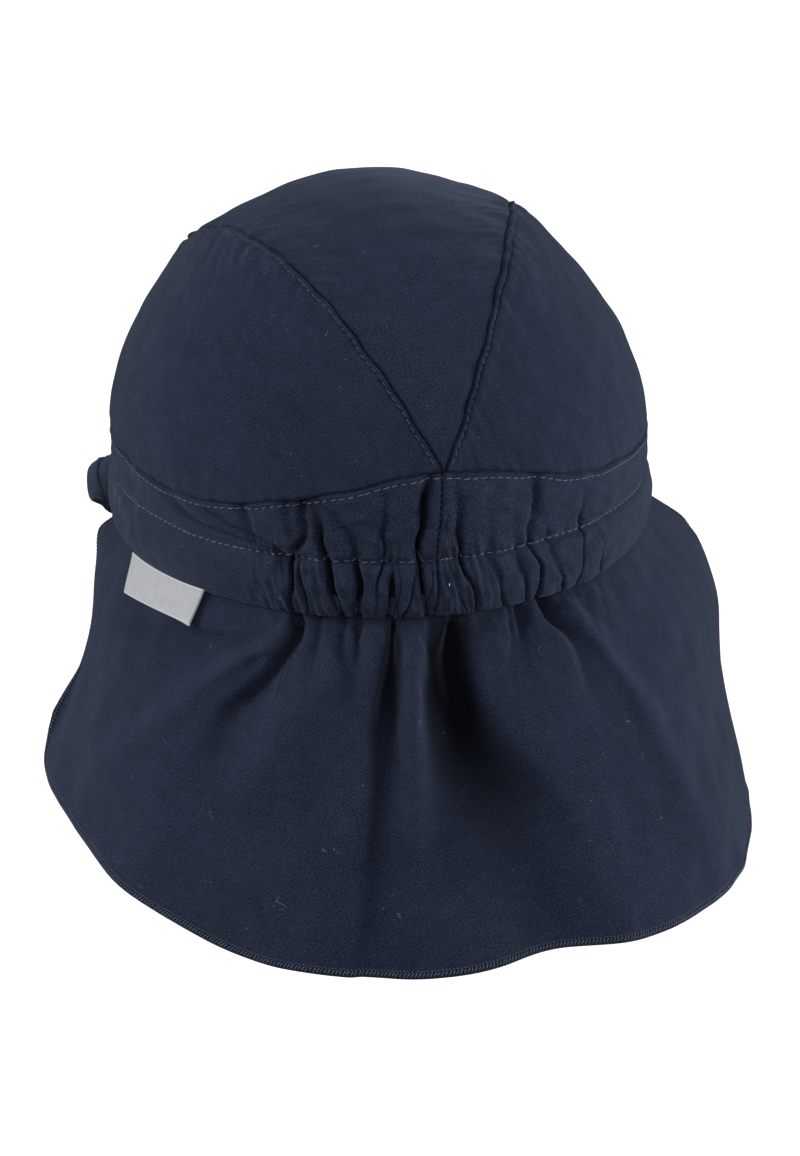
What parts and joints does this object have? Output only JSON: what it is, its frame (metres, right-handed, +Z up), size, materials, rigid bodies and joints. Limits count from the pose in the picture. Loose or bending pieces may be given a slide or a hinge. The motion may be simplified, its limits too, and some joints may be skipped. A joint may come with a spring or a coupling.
{
  "type": "legionnaire cap",
  "caption": "Child's cotton sun cap with a domed crown, elasticated back band, peak and long flared neck flap.",
  "frame": {"origin": "middle of the head opening, level with the lower edge of the elastic casing, where the cap sits on a head", "axes": "+Z up, -Y ahead towards the peak, +Y back towards the neck flap, +X to the wearer's left"},
  "size_m": [0.208, 0.2746, 0.1957],
  "materials": {
    "navy_cotton": "matte woven poplin",
    "navy_overlock": "matte overlock thread",
    "grey_woven_tag": "fine ribbed weave"
  },
  "bodies": {
    "root": {"crown_centre_panel": "navy_cotton", "crown_left_panel": "navy_cotton", "crown_right_panel": "navy_cotton", "head_band": "navy_cotton", "elastic_casing": "navy_cotton", "neck_flap": "navy_cotton", "flap_hem": "navy_overlock", "peak": "navy_cotton", "side_label": "grey_woven_tag"}
  },
  "joints": []
}
